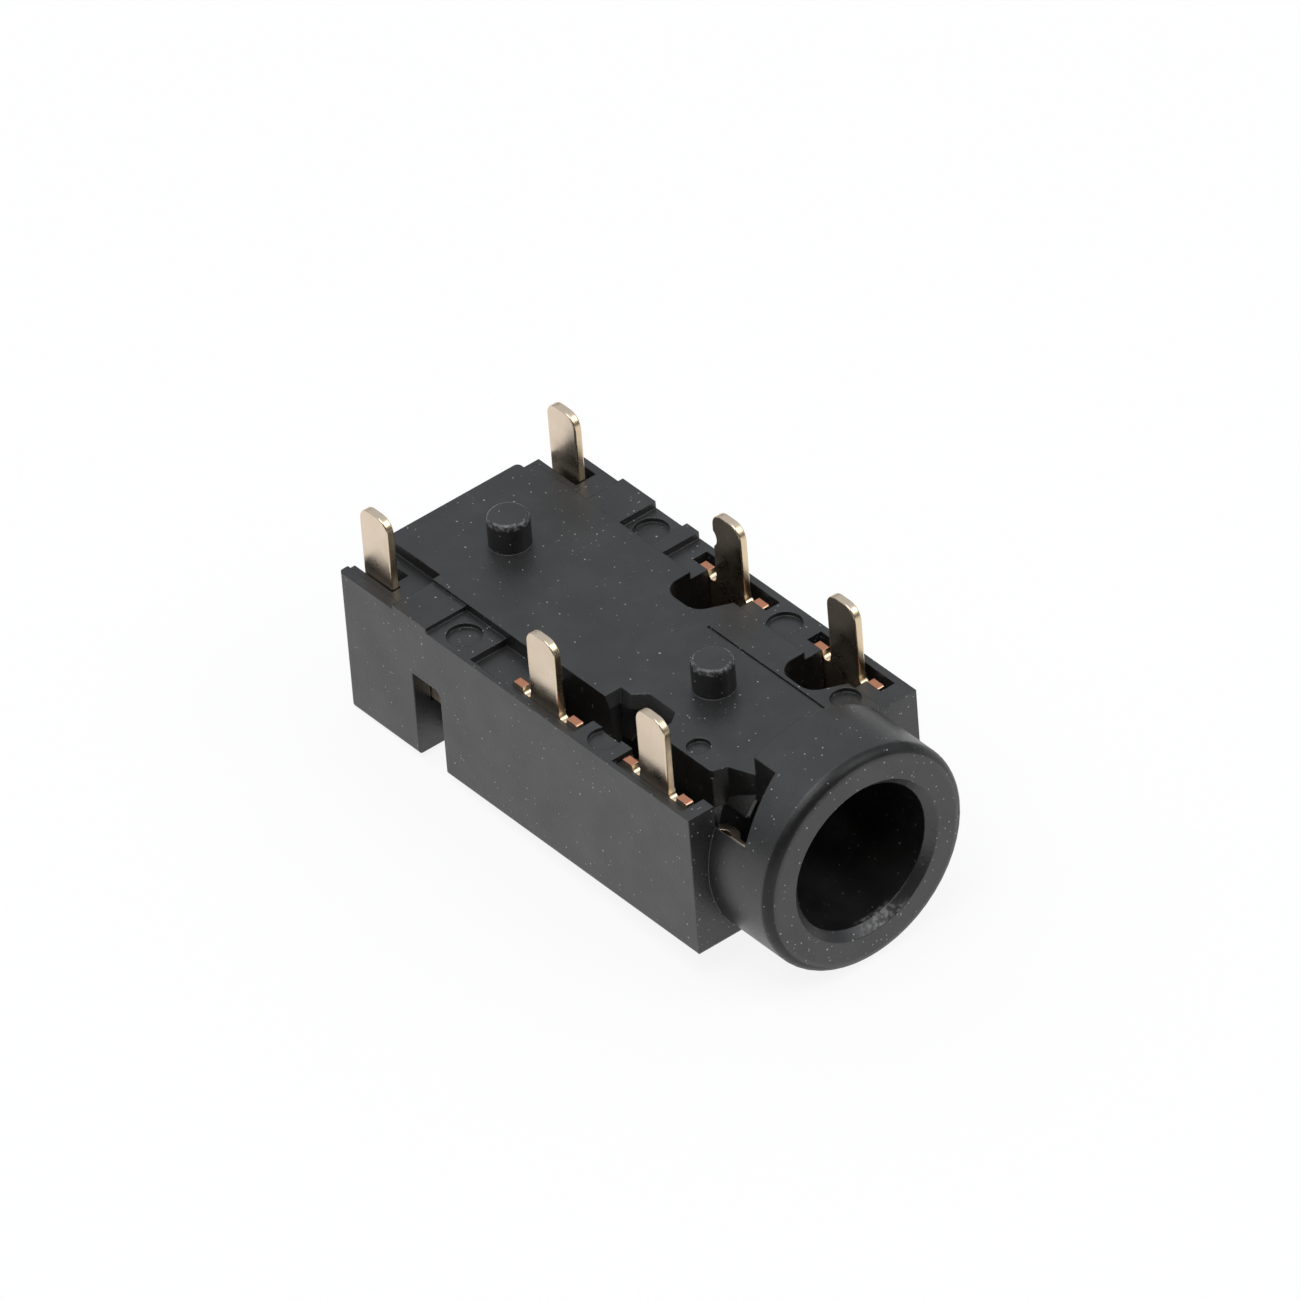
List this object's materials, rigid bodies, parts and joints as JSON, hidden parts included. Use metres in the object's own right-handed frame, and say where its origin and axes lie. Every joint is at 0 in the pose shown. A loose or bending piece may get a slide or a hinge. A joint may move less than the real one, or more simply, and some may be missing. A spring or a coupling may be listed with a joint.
{
  "type": "audio jack socket",
  "caption": "Round-collared socket for a 3.5 mm audio plug, with flat solder pins and round locating pegs on its board side.",
  "frame": {"origin": "on the plug hole's axis, in the plane of the body's front face", "axes": "+X along the plug hole and out of its mouth, +Z to the board side with the pins, +Y to the far side of the picture"},
  "size_m": [0.014, 0.0064, 0.0063],
  "materials": {
    "housing_plastic": "fine moulded grain",
    "contact_metal": "thin pale gold plate over copper alloy"
  },
  "bodies": {
    "root": {"housing": "housing_plastic", "sleeve_contact": "contact_metal", "ring_2_contact": "contact_metal", "tip_contact": "contact_metal", "sleeve_detect_contact": "contact_metal", "ring_1_contact": "contact_metal", "tip_detect_contact": "contact_metal"}
  },
  "joints": []
}
